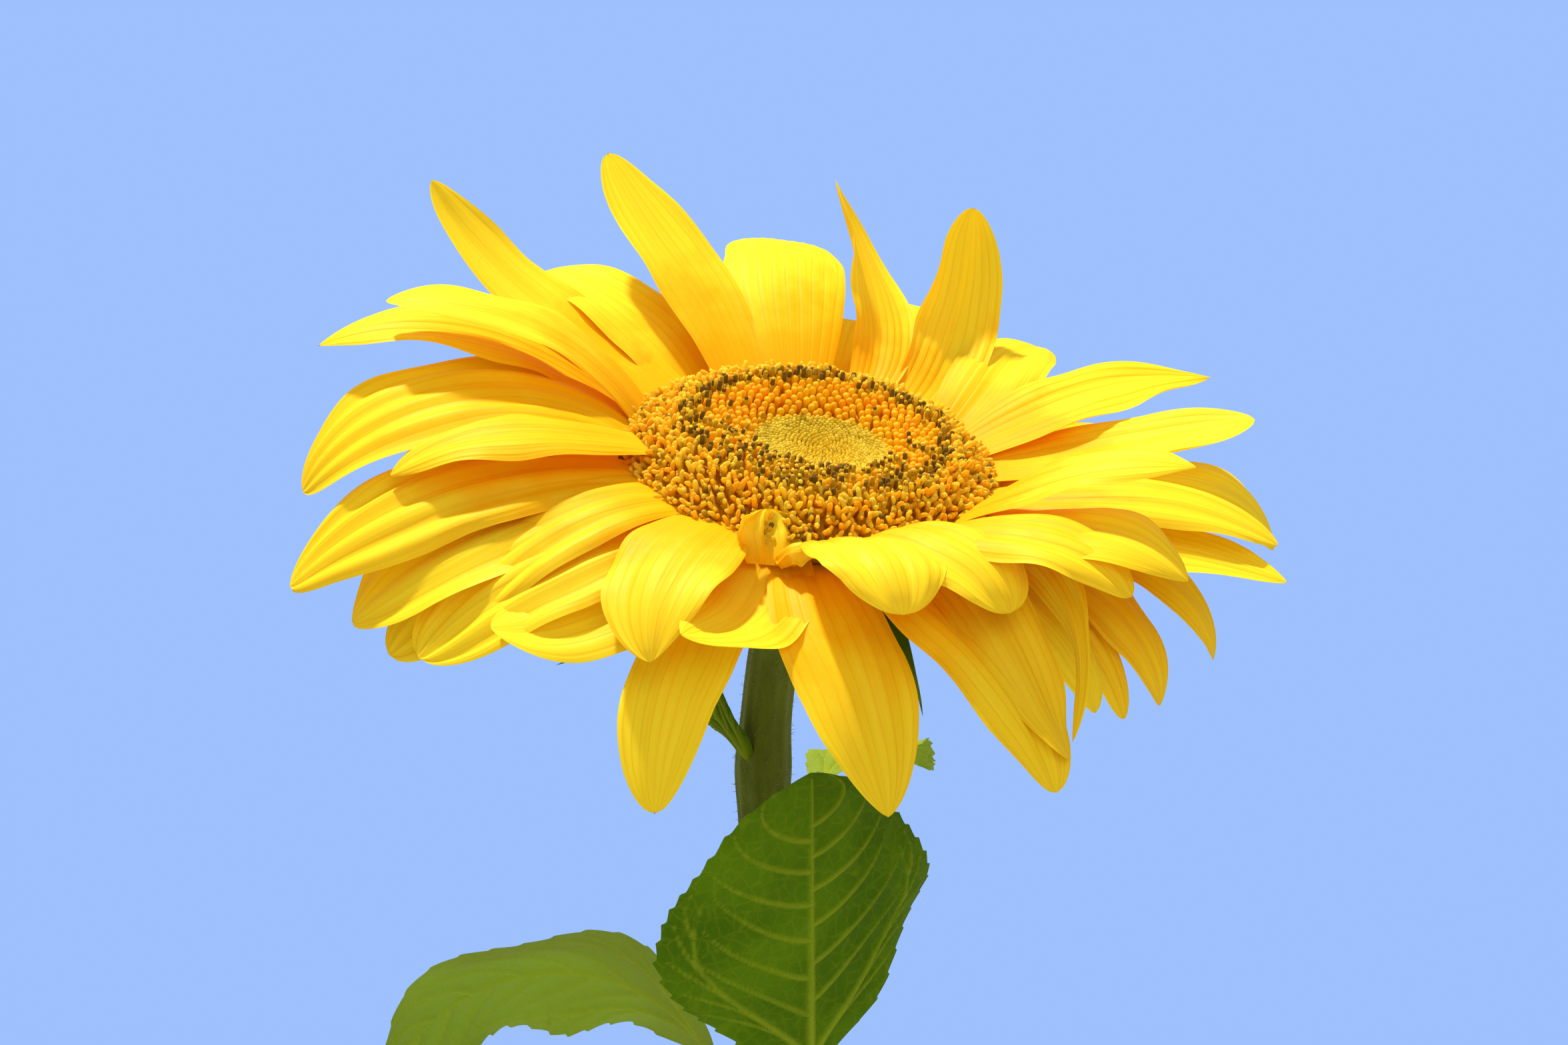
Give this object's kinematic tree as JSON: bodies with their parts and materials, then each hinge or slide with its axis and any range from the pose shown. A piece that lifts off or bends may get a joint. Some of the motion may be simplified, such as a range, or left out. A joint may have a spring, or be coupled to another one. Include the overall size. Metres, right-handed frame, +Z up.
{
  "type": "sunflower plant",
  "caption": "Rooted sunflower plant with one large nodding flower on a tall, slightly leaning green stem with stalked broad leaves.",
  "frame": {"origin": "middle of the flat cut under the stem, at ground level", "axes": "+Z up along the stem, -Y the side that the flower looks to, +X to the right of it"},
  "size_m": [0.4144, 0.436, 1.1861],
  "materials": {
    "stem_green": "matt green stem with fine ribs and bristly hairs",
    "leaf_green": "soft matt leaf, paler and veined below",
    "petal_yellow": "satin petal with fine ribs along it, golden towards its root",
    "disc_florets": "matt, pollen-dusted florets, brown and orange round a green middle",
    "bract_green": "matt hairy bracts"
  },
  "bodies": {
    "root": {"flower_base": "bract_green", "flower_disc": "disc_florets", "leaf_back": "leaf_green", "leaf_bract": "leaf_green", "leaf_front": "leaf_green", "leaf_left": "leaf_green", "leaf_low_1": "leaf_green", "leaf_low_2": "leaf_green", "leaf_low_3": "leaf_green", "leaf_low_4": "leaf_green", "leaf_low_5": "leaf_green", "leaf_low_6": "leaf_green", "petal_01": "petal_yellow", "petal_02": "petal_yellow", "petal_03": "petal_yellow", "petal_04": "petal_yellow", "petal_05": "petal_yellow", "petal_06": "petal_yellow", "petal_07": "petal_yellow", "petal_08": "petal_yellow", "petal_09": "petal_yellow", "petal_10": "petal_yellow", "petal_11": "petal_yellow", "petal_12": "petal_yellow", "petal_13": "petal_yellow", "petal_14": "petal_yellow", "petal_15": "petal_yellow", "petal_16": "petal_yellow", "petal_17": "petal_yellow", "petal_18": "petal_yellow", "petal_19": "petal_yellow", "petal_20": "petal_yellow", "petal_21": "petal_yellow", "petal_22": "petal_yellow", "petal_23": "petal_yellow", "petal_24": "petal_yellow", "petal_25": "petal_yellow", "petal_26": "petal_yellow", "petal_27": "petal_yellow", "petal_28": "petal_yellow", "petal_29": "petal_yellow", "petal_30": "petal_yellow", "petal_31": "petal_yellow", "petal_32": "petal_yellow", "petal_33": "petal_yellow", "petal_34": "petal_yellow", "petal_35": "petal_yellow", "petal_36": "petal_yellow", "petal_37": "petal_yellow", "stalk_back": "stem_green", "stalk_front": "stem_green", "stalk_left": "stem_green", "stalk_low_1": "stem_green", "stalk_low_2": "stem_green", "stalk_low_3": "stem_green", "stalk_low_4": "stem_green", "stalk_low_5": "stem_green", "stalk_low_6": "stem_green", "stem": "stem_green"}
  },
  "joints": []
}
